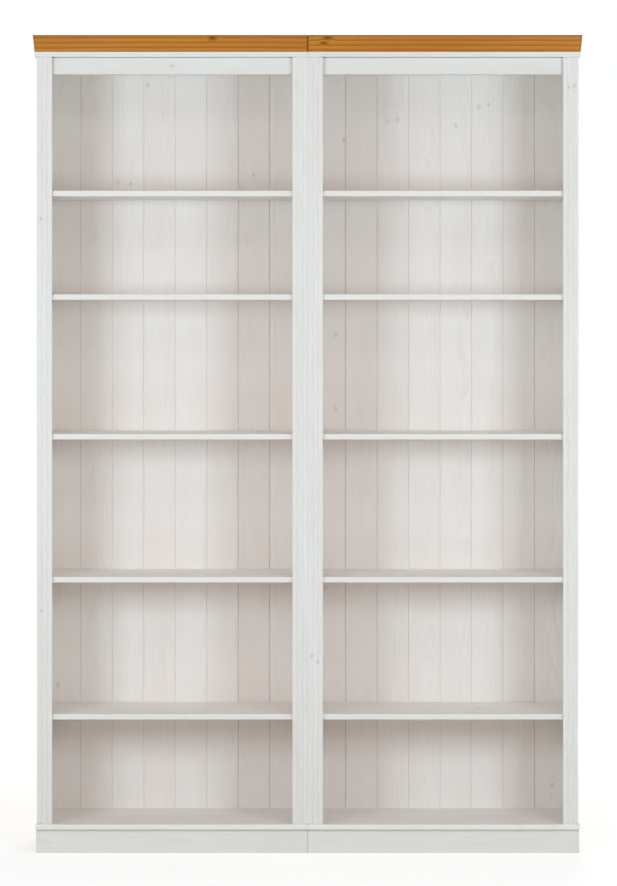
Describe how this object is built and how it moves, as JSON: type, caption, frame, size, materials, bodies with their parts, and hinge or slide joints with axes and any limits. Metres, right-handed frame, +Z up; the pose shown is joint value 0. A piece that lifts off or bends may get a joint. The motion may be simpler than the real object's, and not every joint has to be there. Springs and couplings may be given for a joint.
{
  "type": "wall unit",
  "caption": "Pair of tall open bookcases in white-stained pine with fluted stiles, boarded back, loose adjustable shelves and a honey pine cornice.",
  "frame": {"origin": "on the floor under the joint between the two units, in the middle of the depth", "axes": "+X to the right seen from the front, +Y back to the wall, +Z up"},
  "size_m": [1.476, 0.29, 2.2],
  "materials": {
    "white_stained_pine": "white stained, satin lacquer",
    "honey_stained_pine": "honey stained, satin lacquer",
    "bare_beech": "bare",
    "nickel_plated_steel": "nickel plated",
    "zinc_plated_steel": "zinc plated"
  },
  "bodies": {
    "case": {"left_inner_side": "white_stained_pine", "left_inner_stile": "white_stained_pine", "left_plinth_inner_side": "white_stained_pine", "left_outer_side": "white_stained_pine", "left_outer_stile": "white_stained_pine", "left_plinth_outer_side": "white_stained_pine", "left_base_board": "white_stained_pine", "left_top_board": "white_stained_pine", "left_frieze_rail": "white_stained_pine", "left_plinth_front": "white_stained_pine", "left_cornice_front": "honey_stained_pine", "left_cornice_return": "honey_stained_pine", "left_back_board_1": "white_stained_pine", "left_back_board_2": "white_stained_pine", "left_back_board_3": "white_stained_pine", "left_back_board_4": "white_stained_pine", "left_back_board_5": "white_stained_pine", "left_back_board_6": "white_stained_pine", "left_back_board_7": "white_stained_pine", "left_back_board_8": "white_stained_pine", "right_inner_side": "white_stained_pine", "right_inner_stile": "white_stained_pine", "right_plinth_inner_side": "white_stained_pine", "right_outer_side": "white_stained_pine", "right_outer_stile": "white_stained_pine", "right_plinth_outer_side": "white_stained_pine", "right_base_board": "white_stained_pine", "right_top_board": "white_stained_pine", "right_frieze_rail": "white_stained_pine", "right_plinth_front": "white_stained_pine", "right_cornice_front": "honey_stained_pine", "right_cornice_return": "honey_stained_pine", "right_back_board_1": "white_stained_pine", "right_back_board_2": "white_stained_pine", "right_back_board_3": "white_stained_pine", "right_back_board_4": "white_stained_pine", "right_back_board_5": "white_stained_pine", "right_back_board_6": "white_stained_pine", "right_back_board_7": "white_stained_pine", "right_back_board_8": "white_stained_pine", "shelf_pins": "nickel_plated_steel", "wood_dowels": "bare_beech", "case_screws": "zinc_plated_steel", "back_nails": "zinc_plated_steel", "bracket_screws": "zinc_plated_steel", "wall_brackets": "zinc_plated_steel", "connector_sleeves": "nickel_plated_steel", "connector_screws": "nickel_plated_steel"},
    "left_shelf_1": {"left_shelf_1": "white_stained_pine"},
    "left_shelf_2": {"left_shelf_2": "white_stained_pine"},
    "left_shelf_3": {"left_shelf_3": "white_stained_pine"},
    "left_shelf_4": {"left_shelf_4": "white_stained_pine"},
    "left_shelf_5": {"left_shelf_5": "white_stained_pine"},
    "right_shelf_1": {"right_shelf_1": "white_stained_pine"},
    "right_shelf_2": {"right_shelf_2": "white_stained_pine"},
    "right_shelf_3": {"right_shelf_3": "white_stained_pine"},
    "right_shelf_4": {"right_shelf_4": "white_stained_pine"},
    "right_shelf_5": {"right_shelf_5": "white_stained_pine"}
  },
  "joints": [
    {"name": "left_shelf_1_lift", "type": "slide", "parent": "case", "child": "left_shelf_1", "axis": [0, 0, 1], "range_m": [0, 0.25]},
    {"name": "left_shelf_2_lift", "type": "slide", "parent": "case", "child": "left_shelf_2", "axis": [0, 0, 1], "range_m": [0, 0.25]},
    {"name": "left_shelf_3_lift", "type": "slide", "parent": "case", "child": "left_shelf_3", "axis": [0, 0, 1], "range_m": [0, 0.25]},
    {"name": "left_shelf_4_lift", "type": "slide", "parent": "case", "child": "left_shelf_4", "axis": [0, 0, 1], "range_m": [0, 0.25]},
    {"name": "left_shelf_5_lift", "type": "slide", "parent": "case", "child": "left_shelf_5", "axis": [0, 0, 1], "range_m": [0, 0.25]},
    {"name": "right_shelf_1_lift", "type": "slide", "parent": "case", "child": "right_shelf_1", "axis": [0, 0, 1], "range_m": [0, 0.25]},
    {"name": "right_shelf_2_lift", "type": "slide", "parent": "case", "child": "right_shelf_2", "axis": [0, 0, 1], "range_m": [0, 0.25]},
    {"name": "right_shelf_3_lift", "type": "slide", "parent": "case", "child": "right_shelf_3", "axis": [0, 0, 1], "range_m": [0, 0.25]},
    {"name": "right_shelf_4_lift", "type": "slide", "parent": "case", "child": "right_shelf_4", "axis": [0, 0, 1], "range_m": [0, 0.25]},
    {"name": "right_shelf_5_lift", "type": "slide", "parent": "case", "child": "right_shelf_5", "axis": [0, 0, 1], "range_m": [0, 0.25]}
  ]
}
